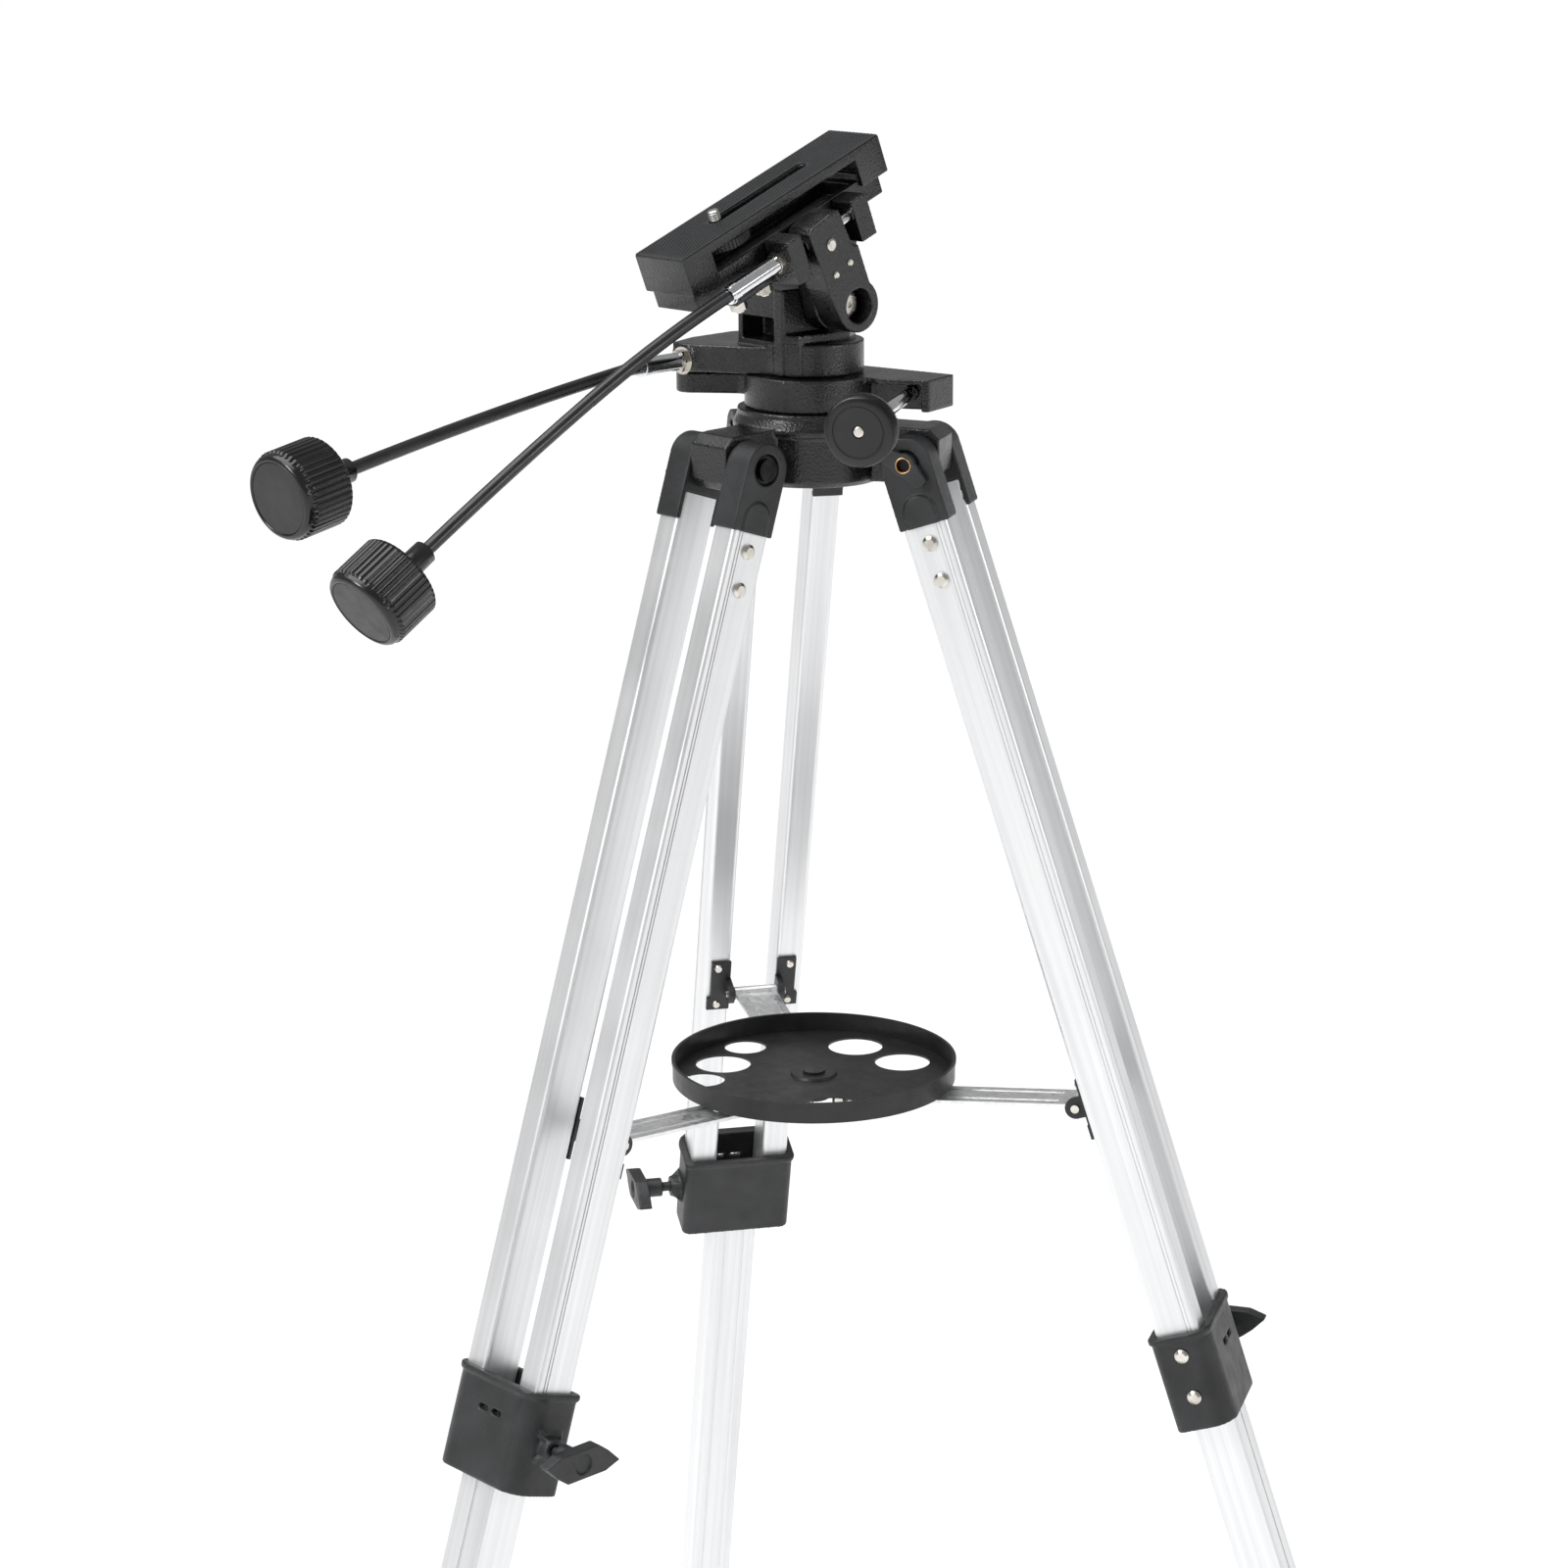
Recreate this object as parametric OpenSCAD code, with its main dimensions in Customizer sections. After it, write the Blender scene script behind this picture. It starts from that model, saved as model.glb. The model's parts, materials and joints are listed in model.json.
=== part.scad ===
// Alt-azimuth head with slow-motion controls on a twin-rail aluminium tripod.
// Millimetres. The origin is on the azimuth axis at floor level, +Z is up,
// +Y is the way the raised end of the saddle points, and the tall altitude arm is on the +X side.

/* [Tripod] */
// Height of the leg hinge axes above the floor
hinge_z = 1060; // [1040:5:1080]
// Distance of each leg hinge from the azimuth axis
hinge_r = 62.4; // [61:0.1:64]
// Angle of each leg from the vertical
splay = 18.15; // [17.5:0.05:19]
// Width of one leg rail
rail_w = 16.5; // [15:0.5:17]
// Depth of one leg rail, measured outward
rail_d = 25.7; // [24:0.1:27]
// Gap between the two rails of a leg
rail_gap = 28.9; // [28.5:0.1:30]
// Distance along the leg from the hinge to the lower end of the rails
rail_end = 556; // [550:1:560]
// Distance along the leg from the hinge to the lower end of the lower tube
lower_end = 1106; // [1100:1:1108]
// Width of the lower leg tube
lower_w = 28.1; // [27:0.1:28.2]
// Depth of the lower leg tube
lower_d = 25.2; // [24:0.1:25.3]
// Distance along the leg from the hinge to the top of the clamp
clamp_s = 511; // [505:1:515]
// Length of the clamp along the leg
clamp_len = 57; // [55:1:60]

/* [Spreader and tray] */
// Outside radius of the accessory tray
tray_r = 82; // [80:0.5:84]
// Height of the tray rim
tray_h = 12; // [10:0.5:14]
// Sheet thickness of the tray
tray_t = 1.2; // [1:0.1:1.5]
// Height of the tray rim's top edge below the leg hinges
tray_drop = 352.9; // [350:0.5:355]
// Radius of a 1.25 inch eyepiece hole
big_hole_r = 16; // [15.9:0.05:16.1]
// Radius of a 0.965 inch eyepiece hole
small_hole_r = 12.25; // [12.2:0.05:12.4]
// Width of a spreader bar
bar_w = 26; // [24:0.5:26]
// Distance along the leg from the hinge to the spreader bracket's pivot
bracket_s = 375; // [372:0.5:378]
// Distance of the bracket's pivot inward from the rail centre line
bracket_q = 22; // [21.5:0.1:22.5]
// Distance of the bars' inner hinge pins from the azimuth axis
hub_pin_r = 20; // [19:0.5:22]
// Height of the bars' inner hinge pins below the leg hinges
hub_drop = 372.5; // [372:0.1:374]

/* [Head] */
// Radius of the base casting's turned top ring
base_r = 41; // [40:0.5:42]
// Radius of the azimuth clamp ring
ring_r = 37; // [36:0.5:38]
// Radius of the turret disc
turret_r = 29; // [28:0.5:30]
// Height of the altitude axis above the leg hinges
alt_z = 83; // [82:0.5:84]
// Tilt of the saddle as the mount stands
tilt = 21.7; // [20:0.1:24]
// Distance of the azimuth slow-motion screw from the azimuth axis
az_screw_r = 50; // [49:0.5:51]
// Angle of the azimuth slow-motion screw from the Y axis
az_screw_turn = 5; // [4:0.5:6]
// Distance of the altitude slow-motion screw from the altitude axis
alt_screw_h = 42.8; // [42:0.1:43.5]
// X position of the altitude slow-motion screw
alt_screw_x = 27; // [26:0.5:28]

/* [Saddle] */
// Length of the saddle
saddle_l = 153; // [150:1:156]
// Width of the saddle
saddle_w = 38.6; // [38:0.1:40]
// Height of the saddle's top face above the altitude axis
saddle_top = 71.3; // [71:0.1:72]
// Height of the saddle shell
saddle_h = 22.4; // [21:0.1:23]
// Major radius of the 1/4-20 camera screw
camera_r = 3.175; // [3.1:0.005:3.2]

/* [Slow-motion controls] */
// Radius of the black sheathed cable
cable_r = 3.6; // [3.4:0.1:3.8]
// Radius of the slow-motion knobs
knob_r = 23.5; // [22:0.5:25]
// Length of the slow-motion knobs
knob_l = 31; // [29:0.5:33]
// Length of the slow-motion knobs' collars
collar_l = 18; // [14:1:20]
// Radius of the azimuth lock knob
lock_knob_r = 19; // [18:0.1:20]

/* [Hidden] */
$fn = 48;

leg_a = 270;                 // headings of the three legs
leg_b = 30;
leg_c = 150;
gap = 0.15;                  // running gap between sliding faces
cap_top = 14.4;              // radius of a hinge cap's ear
cap_out = rail_gap / 2 + rail_w + 1.1;   // outer face of a hinge cap
lug_t = rail_gap / 2 - 0.35;             // half thickness of a base lug
bolt_r = 4;                  // hinge bolt
collar_y = rail_gap / 2 + rail_w + 3.6;  // half width of the clamp
collar_in = 16.6;            // clamp's inward face
collar_out = 17.6;           // clamp's outward face
tray_z = hinge_z - tray_drop;            // tray rim's top edge
floor_z = tray_z - tray_h;               // tray floor's underside
pivot_r = hinge_r + bracket_s * sin(splay) - bracket_q * cos(splay);
pivot_z = hinge_z - bracket_s * cos(splay) - bracket_q * sin(splay);
hub_z = hinge_z - hub_drop;
bar_l = norm([pivot_r - hub_pin_r, pivot_z - hub_z]);
bar_rise = atan2(pivot_z - hub_z, pivot_r - hub_pin_r);
base_top = 25;               // heights above the leg hinges
ring_lo = 25.5;
ring_hi = 43.4;
turret_lo = 44;
turret_hi = 62;
shelf_hi = 59;
az_bolt_r = 6;
column_x = 9;                // side of the column beside the carriage
saddle_lo = saddle_top - saddle_h;       // underside of the saddle shell
saddle_y = -14;                          // centre of the saddle along its length
bed_lo = 38.4;
bed_hi = 56.5;
slot_y0 = -46.5;
slot_y1 = 19;
alt_nut_y = -34;
alt_start = -75;
alt_bend = [840, 7.2, 2400, 3];          // two bends of a cable, each a radius and an angle
az_foot = 45.4;              // where the azimuth screw passes nearest the azimuth axis
clamp_wing_turn = 201;        // how the lock screw wings stand
az_start = 35;
az_bend = [100, 6.2, 3200, 3.6];

// ---------- helpers ----------

module ring2d(r_out, r_in) {
  difference() {
    circle(r = r_out);
    circle(r = r_in);
  }
}

module rounded_rect(x, y, r) {
  square([x - 2 * r, y], center = true);
  square([x, y - 2 * r], center = true);
  for (i = [-1, 1], j = [-1, 1])
    translate([i * (x / 2 - r), j * (y / 2 - r)])
      circle(r = r);
}

module leg_frame(heading) {
  // local +X points outward, +Y along the hinge bolt and -Z down the leg
  rotate([0, 0, heading])
    translate([hinge_r, 0, hinge_z])
      rotate([0, -splay, 0])
        children();
}

module head_frame() {
  translate([0, 0, hinge_z])
    children();
}

module alt_frame() {
  // origin on the altitude axis, +Y along the saddle and +Z square to it
  translate([0, 0, hinge_z + alt_z])
    rotate([tilt, 0, 0])
      children();
}

module az_screw_frame() {
  // origin where the azimuth slow-motion screw leaves its front boss, -Y along the screw
  head_frame()
    translate([-az_screw_r, -50, 49.5])
      rotate([0, 0, az_screw_turn])
        children();
}

module along_y(y0, y1) {
  translate([0, y0, 0])
    rotate([-90, 0, 0])
      linear_extrude(y1 - y0)
        children();
}

module rod_y(y0, y1, r) {
  along_y(y0, y1)
    circle(r = r);
}

module rod_x(x0, x1, r) {
  translate([x0, 0, 0])
    rotate([0, 90, 0])
      cylinder(r = r, h = x1 - x0);
}

module plate_x(x0, x1, outline) {
  // an outline in Y and Z, given thickness along X
  translate([x0, 0, 0])
    rotate([90, 0, 90])
      linear_extrude(x1 - x0)
        polygon(outline);
}

module hex_y(y0, y1, flats) {
  along_y(y0, y1)
    circle(r = flats / sqrt(3), $fn = 6);
}

module block(x0, x1, y0, y1, z0, z1) {
  translate([x0, y0, z0])
    cube([x1 - x0, y1 - y0, z1 - z0]);
}

module pan_head_y(y, dir, r) {
  // a pan head that stands on the plane Y = y and faces along dir
  translate([0, y, 0])
    rotate([-90 * dir, 0, 0]) {
      cylinder(r = r, h = 1.2);
      translate([0, 0, 1.2])
        cylinder(r1 = r, r2 = r * 0.62, h = 1.1);
    }
}

// ---------- base and azimuth ----------

module base_casting() {
  color([0.13, 0.14, 0.15])
  head_frame()
    difference() {
      union() {
        rotate_extrude($fn = 96)
          polygon([[0, -15], [38, -15], [base_r, -12], [base_r, 12], [base_r + 2.4, 14],
                   [base_r + 2.4, 17], [base_r, 22], [base_r, base_top], [0, base_top]]);
        for (heading = [leg_a, leg_b, leg_c])
          rotate([0, 0, heading])
            base_lug();
      }
      translate([0, 0, -20])
        cylinder(r = az_bolt_r + 0.05, h = 60);
      for (heading = [leg_a, leg_b, leg_c])
        rotate([0, 0, heading])
          translate([hinge_r, 0, 0])
            rod_y(-lug_t - 1, lug_t + 1, bolt_r + 0.05);
    }
}

module base_lug() {
  translate([0, lug_t, 0])
    rotate([90, 0, 0])
      linear_extrude(2 * lug_t)
        polygon([[25, -13.5], [71, -13.5], [76.5, -8], [76.5, 11], [71, 16.4], [25, 18]]);
}

module azimuth_bolt() {
  // bolt through the whole head with its head under the base and a nut in the turret
  color([0.75, 0.75, 0.76])
  head_frame() {
    translate([0, 0, -19.5])
      cylinder(r = 10, h = 4.4, $fn = 6);
    translate([0, 0, -16])
      cylinder(r = az_bolt_r, h = 81);
    difference() {
      translate([0, 0, turret_lo + 12.1])
        cylinder(r = 10, h = 7, $fn = 6);
      translate([0, 0, turret_lo + 10])
        cylinder(r = az_bolt_r + 0.02, h = 12);
    }
  }
}

module thrust_washers() {
  // thin slip washer between the base and the clamp ring
  color([0.85, 0.85, 0.82])
  head_frame()
    translate([0, 0, base_top + 0.05])
      linear_extrude(0.4)
        ring2d(30, az_bolt_r + 0.3);
}

module hinge_bolts() {
  // one bolt through each leg hinge; the wing nut goes on its free end
  color([0.62, 0.6, 0.55])
  for (heading = [leg_a, leg_b, leg_c])
    rotate([0, 0, heading])
      translate([hinge_r, 0, hinge_z]) {
        rod_y(-cap_out - 2.4, cap_out - 2, bolt_r);
        rod_y(cap_out - 2.9, cap_out + 1, 6.2);
      }
}

module clamp_ring() {
  // split ring that turns on the base; one arm holds the lock, the other drives the turret
  color([0.1, 0.105, 0.115])
  head_frame()
    difference() {
      union() {
        translate([0, 0, ring_lo])
          cylinder(r = ring_r, h = ring_hi - ring_lo, $fn = 96);
        translate([0, 0, ring_lo + 0.3])
          linear_extrude(ring_hi - ring_lo - 0.3)
            polygon([[0, 36.9], [61.9, 48.6], [69, 22.6], [45.4, 6.4], [20, 3]]);
        drive_arm();
      }
      translate([0, 0, ring_lo - 1])
        cylinder(r = az_bolt_r + 0.06, h = 30);
      lock_pocket();
      lock_axis()
        rod_y(-30, 22.4, 3.75);
      az_screw_path();
      translate([0, 0, ring_hi - 0.9])
        cylinder(r = 22, h = 2);
    }
}

module drive_arm() {
  // arm under the turret's shelf, with an upright nut block on the slow-motion screw
  translate([0, 0, 30])
    linear_extrude(11.6) {
      polygon([[-20, -20], [-34, -24], [-56, -42.5], [-70, -30], [-68, 2], [-60, 12], [-10, 35]]);
      translate([-60, -33])
        circle(r = 10);
    }
  translate([-az_screw_r, -50, 0])
    rotate([0, 0, az_screw_turn])
      block(-7, 7, az_foot - 5, az_foot + 5, 40, 55);
}

module lock_pocket() {
  // recess under the lock arm's top, from the ring to the block at the arm's end
  difference() {
    lock_axis()
      block(-26, 7.5, -12, 6.5, -14, 5.6);
    cylinder(r = ring_r, h = 60, $fn = 96);
  }
}

module lock_axis() {
  // -Y along the lock screw, which runs level out of the arm and slightly down
  translate([57.8, 18.1, 35])
    rotate([0, 0, 29.7])
      rotate([3.25, 0, 0])
        children();
}

module az_screw_path() {
  // clearance for the azimuth screw in the nut block
  translate([-az_screw_r, -50, 49.5])
    rotate([0, 0, az_screw_turn])
      rod_y(az_foot - 10, az_foot + 10, 4.5);
}

module azimuth_lock_screw() {
  color([0.86, 0.86, 0.87])
  head_frame()
    lock_axis()
      rod_y(-92, 22, 3.7);
}

module azimuth_lock_knob() {
  // knurled knob; its face shows the end of the screw
  color([0.06, 0.06, 0.065])
  head_frame()
    lock_axis()
      difference() {
        union() {
          rod_y(-96.4, -84.5, lock_knob_r);
          rod_y(-85, -79.5, 8);
        }
        rod_y(-98, -95.4, lock_knob_r - 3);
        rod_y(-92.1, -78, 3.75);
      }
}

// ---------- turret ----------

module turret() {
  color([0.12, 0.125, 0.135])
  head_frame()
    difference() {
      union() {
        translate([0, 0, turret_lo])
          cylinder(r = turret_r, h = turret_hi - turret_lo, $fn = 96);
        translate([0, 0, turret_lo])
          linear_extrude(shelf_hi - turret_lo)
            shelf_outline();
        screw_bosses();
        column();
      }
      translate([0, 0, turret_lo - 1])
        cylinder(r = az_bolt_r + 0.06, h = 40);
      translate([0, 0, turret_lo + 12])
        cylinder(r = 12.2, h = 9.5);
      shelf_channel();
      translate([-az_screw_r, -50, 49.5])
        rotate([0, 0, az_screw_turn])
          rod_y(-5, 67, 3.1);
      translate([0, 0, alt_z])
        rod_x(-40, 12, 5.05);
    }
}

module shelf_outline() {
  polygon([[2, -28], [-5, -29], [-42, -48.9], [-58.5, -50], [-66, -30], [-68.5, 2], [-62, 22], [-6, 28]]);
}

module screw_bosses() {
  translate([-az_screw_r, -50, 49.5])
    rotate([0, 0, az_screw_turn])
      intersection() {
        rod_y(-0.2, 12, 9.2);
        block(-12, 12, -1, 14, -5.2, 12);
      }
}

module shelf_channel() {
  // pocket under the shelf where the nut block travels
  translate([-az_screw_r, -50, 49.5])
    rotate([0, 0, az_screw_turn])
      block(-9.5, 9.5, az_foot - 14.4, az_foot + 14.4, -6, 6.8);
}

module column() {
  // tower that carries the altitude axle, with a rib at its front corner beside a pocket
  difference() {
    union() {
      translate([0, 0, turret_lo + 0.6])
        linear_extrude(22.4)
          polygon([[-29, -28], [column_x, -28], [17, -25.5], [18, -16], [18, 12], [10, 24], [-22, 24],
                   [-29, 16]]);
      translate([0, 0, turret_lo + 0.6])
        linear_extrude(alt_z - turret_lo + 8)
          polygon([[-29, -28], [column_x, -28], [column_x, 16], [2, 24], [-22, 24], [-29, 16]]);
      block(1.5, column_x, -29.6, -26, turret_lo + 0.6, alt_z + 8);
      translate([0, 0, alt_z])
        rod_x(-29.6, column_x, 15.5);
    }
    block(-25.5, 0, -30, -12, shelf_hi + 3.5, shelf_hi + 16);
    block(-40, 20, -60, -24, alt_z + 10, 130);
  }
}

module altitude_axle() {
  // fixed bolt on the altitude axis, with its nut sunk in the arm's eye
  color([0.78, 0.78, 0.79])
  translate([0, 0, hinge_z + alt_z])
    difference() {
      union() {
        rod_x(-29.7, 30, 5);
        rod_x(-33, -29.7, 8);
        translate([25.7, 0, 0])
          rotate([0, 90, 0])
            cylinder(r = 6.8, h = 3.6, $fn = 6);
      }
      rod_x(29, 40, 2);
    }
}

// ---------- azimuth slow motion ----------

module azimuth_bushings() {
  // threaded hexagon bushing that holds the screw in the front boss
  color([0.8, 0.78, 0.72])
  az_screw_frame()
    difference() {
      union() {
        hex_y(-4.4, -0.3, 11);
        rod_y(-0.9, -0.25, 7.6);
      }
      rod_y(-6, 2, 3.1);
    }
}

module azimuth_screw() {
  // tangent screw with the chrome ferrule that joins it to the cable
  color([0.88, 0.88, 0.89])
  az_screw_frame()
    difference() {
      union() {
        rod_y(-6, 66, 3);
        rod_y(-az_start, -4.7, 5);
        rod_y(-az_start + 2, -az_start + 6, 5.4);
      }
      rod_y(-az_start - 1, -az_start + 9, 1.7);
    }
}

module bent_cable(bend) {
  // tube that leaves the origin along -Y and bends down twice, with a core pin at each end
  rod_y(-1, 6, 1.6);
  cable_arc(bend[0], bend[1], cable_r);
  cable_bend(bend[0], bend[1])
    translate([0, 1, 0])
      cable_arc(bend[2], bend[3], cable_r - 0.1);
  cable_end(bend)
    rod_y(-8, 2, 1.6);
}

module cable_arc(radius, angle, r) {
  translate([0, 0, -radius])
    rotate([0, -90, 180])
      rotate_extrude(angle = angle, $fn = 32)
        translate([radius, 0])
          circle(r = r);
}

module cable_bend(radius, angle) {
  // frame at the far end of a bend, -Y straight on along the cable
  translate([0, -radius * sin(angle), -radius * (1 - cos(angle))])
    rotate([angle, 0, 0])
      children();
}

module cable_end(bend) {
  cable_bend(bend[0], bend[1])
    translate([0, 1, 0])
      cable_bend(bend[2], bend[3])
        children();
}

module azimuth_cable() {
  color([0.05, 0.05, 0.055])
  az_screw_frame()
    translate([0, -az_start - 0.2, 0])
      bent_cable(az_bend);
}

module slow_motion_knob() {
  // ribbed knob with a collar; the cable ends at the origin and the knob lies along -Y
  difference() {
    union() {
      rod_y(-collar_l, -0.3, 6.6);
      rod_y(-knob_l - collar_l, 1 - collar_l, knob_r - 1.2);
      rod_y(5 - knob_l - collar_l, -1 - collar_l, knob_r);
    }
    rod_y(-10, 1, 1.7);
    rod_y(-knob_l - collar_l - 1, 0.8 - knob_l - collar_l, knob_r - 4.5);
  }
}

module azimuth_knob() {
  color([0.05, 0.05, 0.055])
  az_screw_frame()
    translate([0, -az_start - 0.2, 0])
      cable_end(az_bend)
        slow_motion_knob();
}

// ---------- altitude ----------

module altitude_arm() {
  // tall arm clamped on the altitude axle; its top holds the slow-motion nut
  color([0.13, 0.135, 0.145])
  alt_frame()
    difference() {
      union() {
        rod_x(20.4, 38.3, 14.5);
        plate_x(20.4, 38.3, [[-14.4, -3], [-17.8, 18], [-17.6, 27], [-19.2, 51], [-16, 53.6],
          [-1.4, 55.3], [5.3, 54.9], [7.6, 33.5], [11.6, 31], [12, 1], [8, -11.5], [0, -9]]);
      }
      rod_x(18, 40, 5.06);
      rod_x(25.5, 40, 9.3);
      translate([alt_screw_x, 0, alt_screw_h])
        arm_screw_path();
      block(18, 22.4, -30, -13, 29, 50);
    }
}

module arm_screw_path() {
  // wide bore that lets the screw tilt in the arm, with a narrow land as its nut
  rod_y(-24, -9, 5.8);
  rod_y(-10, -2, 4.05);
  rod_y(-3, 14, 5.8);
}

module arm_screws() {
  // three silver screws in the arm's outer face
  color([0.85, 0.84, 0.82])
  alt_frame()
    for (p = [[-6.7, 40, 3.3], [2.1, 25.1, 2], [-9.5, 23.4, 2]])
      translate([38.3, p[0], p[1]])
        rotate([0, 90, 0]) {
          cylinder(r = p[2], h = 0.6);
          translate([0, 0, 0.6])
            cylinder(r1 = p[2], r2 = p[2] * 0.7, h = 0.6);
        }
}

module carriage() {
  // swings on the altitude axle beside the arm and holds the slow-motion screw in two lugs
  color([0.1, 0.105, 0.115])
  alt_frame()
    difference() {
      union() {
        rod_x(9.3, 20.1, 15);
        plate_x(9.3, 20.1, [[-14.8, 0], [-13, 31], [-24, 31], [-24, bed_lo - 0.1],
          [30, bed_lo - 0.1], [30, 31], [14.8, 0]]);
        block(9.3, 20.1, -66, -20, 31, bed_lo - 0.1);
        block(17, 37, -34, -23.2, 29, 54);
        block(10, 20.1, -34, -23.2, 29, bed_lo - 0.1);
        block(17, 33, 19.2, 31, 28, 52);
        block(10, 20.1, 19.2, 31, 31, bed_lo - 0.1);
      }
      rod_x(0, 21, 5.06);
      translate([alt_screw_x, 0, alt_screw_h])
        rod_y(-40, 40, 3.1);
    }
}

module altitude_bushings() {
  // hexagon bushing at the front lug and an end nut behind the rear lug
  color([0.82, 0.8, 0.74])
  alt_frame()
    translate([alt_screw_x, 0, alt_screw_h])
      difference() {
        hex_y(alt_nut_y - 4.6, alt_nut_y - 0.1, 11);
        rod_y(-60, 40, 3.1);
      }
}

module altitude_screw() {
  color([0.88, 0.88, 0.89])
  alt_frame()
    translate([alt_screw_x, 0, alt_screw_h])
      difference() {
        union() {
          rod_y(alt_nut_y - 8, 30, 3);
          rod_y(alt_start, alt_nut_y - 4.9, 5);
          rod_y(alt_start + 2, alt_start + 6, 5.4);
        }
        rod_y(alt_start - 1, alt_start + 9, 1.7);
      }
}

module altitude_cable() {
  color([0.05, 0.05, 0.055])
  alt_frame()
    translate([alt_screw_x, alt_start - 0.2, alt_screw_h])
      bent_cable(alt_bend);
}

module altitude_knob() {
  color([0.06, 0.06, 0.065])
  alt_frame()
    translate([alt_screw_x, alt_start - 0.2, alt_screw_h])
      cable_end(alt_bend)
        slow_motion_knob();
}

// ---------- saddle ----------

module saddle_bed() {
  // bar under the saddle, stepped in at its ends and relieved for the camera screw
  color([0.11, 0.115, 0.125])
  alt_frame()
    difference() {
      block(-16.5, 16.5, -88.5, 57, bed_lo, bed_hi);
      block(-17, 17, -71, 42, bed_hi - 4, bed_hi + 1);
      block(-13, 13, -67, 38, bed_lo + 6, bed_hi + 1);
    }
}

module saddle_shell() {
  // inverted channel with solid ends, open at both sides over the thumbwheel
  color([0.15, 0.155, 0.16])
  alt_frame()
    difference() {
      block(-saddle_w / 2, saddle_w / 2, saddle_y - saddle_l / 2, saddle_y + saddle_l / 2,
        saddle_lo, saddle_top - 1.2);
      block(-16.7, 16.7, -88.7, 57.2, saddle_lo - 1, bed_hi + 0.2);
      block(-30, 30, -70, 42, saddle_lo - 1, saddle_top - 6.6);
      translate([0, 0, 40])
        linear_extrude(40)
          slot_outline(camera_r + 0.4);
    }
}

module slot_outline(r) {
  for (y = [slot_y0, slot_y1])
    translate([0, y])
      circle(r = r);
  translate([-r, slot_y0])
    square([2 * r, slot_y1 - slot_y0]);
}

module saddle_pad() {
  // thin ribbed rubber pad on the top face
  color([0.06, 0.065, 0.07])
  alt_frame()
    translate([0, 0, saddle_top - 1.2])
      linear_extrude(1.2)
        difference() {
          translate([0, saddle_y])
            square([saddle_w - 1, saddle_l - 1], center = true);
          slot_outline(camera_r + 0.8);
        }
}

module saddle_bolts() {
  // two hexagon bolts that hold the bed on the carriage
  color([0.8, 0.78, 0.74])
  alt_frame()
    for (y = [-39.2, -59])
      translate([13, y, 31])
        rotate([180, 0, 0]) {
          cylinder(r = 4.9, h = 5.2, $fn = 6);
          translate([0, 0, 5.2])
            cylinder(r = 2.4, h = 1.6);
        }
}

module camera_screw() {
  // 1/4-20 screw with a knurled thumbwheel under the saddle's top wall
  color([0.3, 0.3, 0.31])
  alt_frame()
    translate([0, slot_y0, 0]) {
      translate([0, 0, 57])
        cylinder(r = 15.5, h = 6.6);
      translate([0, 0, 60])
        cylinder(r = camera_r - 0.2, h = saddle_top + 1 - 60);
      translate([0, 0, saddle_top + 0.2])
        cylinder(r = camera_r, h = 5.3);
    }
}

module camera_screw_clip() {
  // spring washer that slides in the saddle with the screw
  color([0.7, 0.7, 0.7])
  alt_frame()
    translate([0, slot_y0, 63.9])
      linear_extrude(0.6)
        ring2d(8, camera_r);
}

// ---------- legs ----------

module rail_outline(grow) {
  rounded_rect(rail_d + grow, rail_w + grow, 2.6);
}

module rails(heading) {
  color([0.83, 0.84, 0.85])
  leg_frame(heading)
    for (side = [-1, 1])
      translate([0, side * (rail_gap + rail_w) / 2, -rail_end])
        linear_extrude(rail_end - 20)
          difference() {
            rail_outline(0);
            rounded_rect(rail_d - 3.2, rail_w - 3.2, 1.2);
            for (x = [6.6, 8.6])
              translate([x, side * (rail_w / 2)])
                square([0.9, 1], center = true);
          }
}

module hinge_caps(heading) {
  color([0.1, 0.1, 0.105])
  leg_frame(heading)
    for (side = [-1, 1])
      mirror([0, side < 0 ? 1 : 0, 0])
        hinge_cap(side);
}

module hinge_cap(side) {
  head_r = 8.4;
  difference() {
    union() {
      rod_y(rail_gap / 2, cap_out, cap_top);
      block(-14.4, 14.4, rail_gap / 2, cap_out, -35, -2);
      intersection() {
        union() {
          translate([0, 0, -27])
            rod_y(cap_out - 1, cap_out + 1.4, 9);
          block(-9, 9, cap_out - 1, cap_out + 1.4, -35, -27);
        }
        block(-20, 20, 0, 60, -35, 0);
      }
    }
    rod_y(0, 60, bolt_r + 0.06);
    rod_y(cap_out - 3, cap_out + 5, side > 0 ? head_r : 7.2);
    translate([0, (rail_gap + rail_w) / 2, -36])
      linear_extrude(16.2)
        rail_outline(0.1);
  }
}

module clamp_outline(grow) {
  // flat inward face with small corners, rounder corners outward
  r_in = 5;
  r_out = 13;
  y = collar_y + grow;
  x_in = -collar_in - grow;
  x_out = collar_out + grow;
  translate([x_in, -y + r_in])
    square([10, 2 * (y - r_in)]);
  translate([x_in + r_in, -y])
    square([x_out - r_out - x_in - r_in, 2 * y]);
  translate([0, -y + r_out])
    square([x_out, 2 * (y - r_out)]);
  for (j = [-1, 1]) {
    translate([x_in + r_in, j * (y - r_in)])
      circle(r = r_in);
    translate([x_out - r_out, j * (y - r_out)])
      circle(r = r_out);
  }
}

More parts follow.
